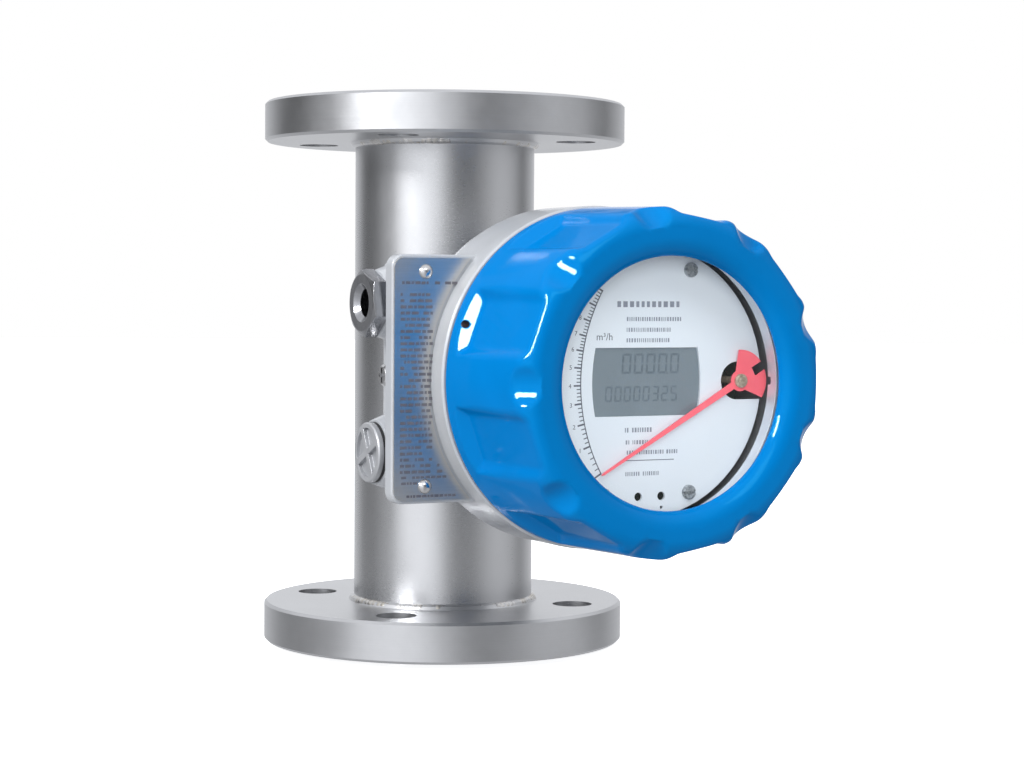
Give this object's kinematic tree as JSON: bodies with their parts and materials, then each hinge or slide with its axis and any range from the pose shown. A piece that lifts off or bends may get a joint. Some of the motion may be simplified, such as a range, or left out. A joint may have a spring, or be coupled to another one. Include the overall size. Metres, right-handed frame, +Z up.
{
  "type": "metal tube rotameter",
  "caption": "Flanged stainless variable-area flow meter with a round indicator head: glossy blue screw-on window cover, silver housing, red pointer and small display.",
  "frame": {"origin": "centre of the inlet flange's sealing face, on the axis of the measuring tube", "axes": "+Z up the tube from inlet to outlet; -Y from the tube towards the viewer of the dial; -X towards the cable entry"},
  "size_m": [0.1737, 0.2885, 0.25],
  "materials": {
    "flange_steel": "satin",
    "tube_steel": "satin",
    "inner_steel": "satin",
    "float_steel": "polished",
    "magnet": "satin",
    "bracket_paint": "satin",
    "housing_paint": "gloss",
    "cover_paint": "gloss",
    "fastener_steel": "satin",
    "nickel": "polished",
    "plate_metal": "satin",
    "dial_metal": "satin",
    "black_rubber": "matte",
    "window": "polished",
    "retainer_metal": "satin",
    "board_green": "satin",
    "display_glass": "satin",
    "terminal_plastic": "matte",
    "pointer_red": "satin",
    "brass_part": "satin",
    "spacer_brass": "satin"
  },
  "bodies": {
    "meter_body": {"inlet_flange": "flange_steel", "outlet_flange": "flange_steel", "measuring_tube": "tube_steel", "lower_guide": "inner_steel", "upper_guide": "inner_steel", "guide_circlips": "inner_steel", "metering_cone": "inner_steel", "mounting_bracket": "bracket_paint", "housing": "housing_paint", "head_bolts": "fastener_steel", "nameplate": "plate_metal", "nameplate_rivets": "fastener_steel", "cable_entry": "nickel", "blanking_plug": "nickel", "plug_washer": "black_rubber", "ground_screw": "fastener_steel", "ground_washer": "fastener_steel", "cover_oring": "black_rubber", "dial_plate": "dial_metal", "dial_screws": "fastener_steel", "upper_standoffs": "spacer_brass", "lower_standoffs": "spacer_brass", "circuit_board": "board_green", "lcd_module": "display_glass", "chassis": "retainer_metal", "chassis_spacers": "spacer_brass", "chassis_screws": "fastener_steel", "shaft_bearings": "brass_part", "terminal_block": "terminal_plastic"},
    "float": {"float_body": "float_steel", "float_magnet": "magnet", "float_cap": "float_steel", "float_stem": "float_steel", "float_nut": "float_steel"},
    "pointer": {"pointer": "pointer_red", "pointer_hub": "brass_part", "hub_cap": "brass_part", "pointer_shaft": "inner_steel", "follower_arm": "retainer_metal", "follower_magnet": "magnet"},
    "cover": {"cover": "cover_paint", "cover_lock_screw": "fastener_steel", "window_glass": "window", "glass_gasket": "black_rubber", "glass_retainer": "retainer_metal"}
  },
  "joints": [
    {"name": "float_lift", "type": "slide", "parent": "meter_body", "child": "float", "axis": [0, 0, 1], "range_m": [0, 0.042]},
    {"name": "pointer_swing", "type": "hinge", "parent": "meter_body", "child": "pointer", "pos_m": [0.042, -0.184, 0.1275], "axis": [0, 1, 0], "range_deg": [0, 59.2]},
    {"name": "cover_unscrew", "type": "slide", "parent": "meter_body", "child": "cover", "axis": [0, -1, 0], "range_m": [0, 0.05]}
  ],
  "couplings": [
    {"joint": "pointer_swing", "follows": "float_lift", "rad_per_m": 24.6}
  ]
}
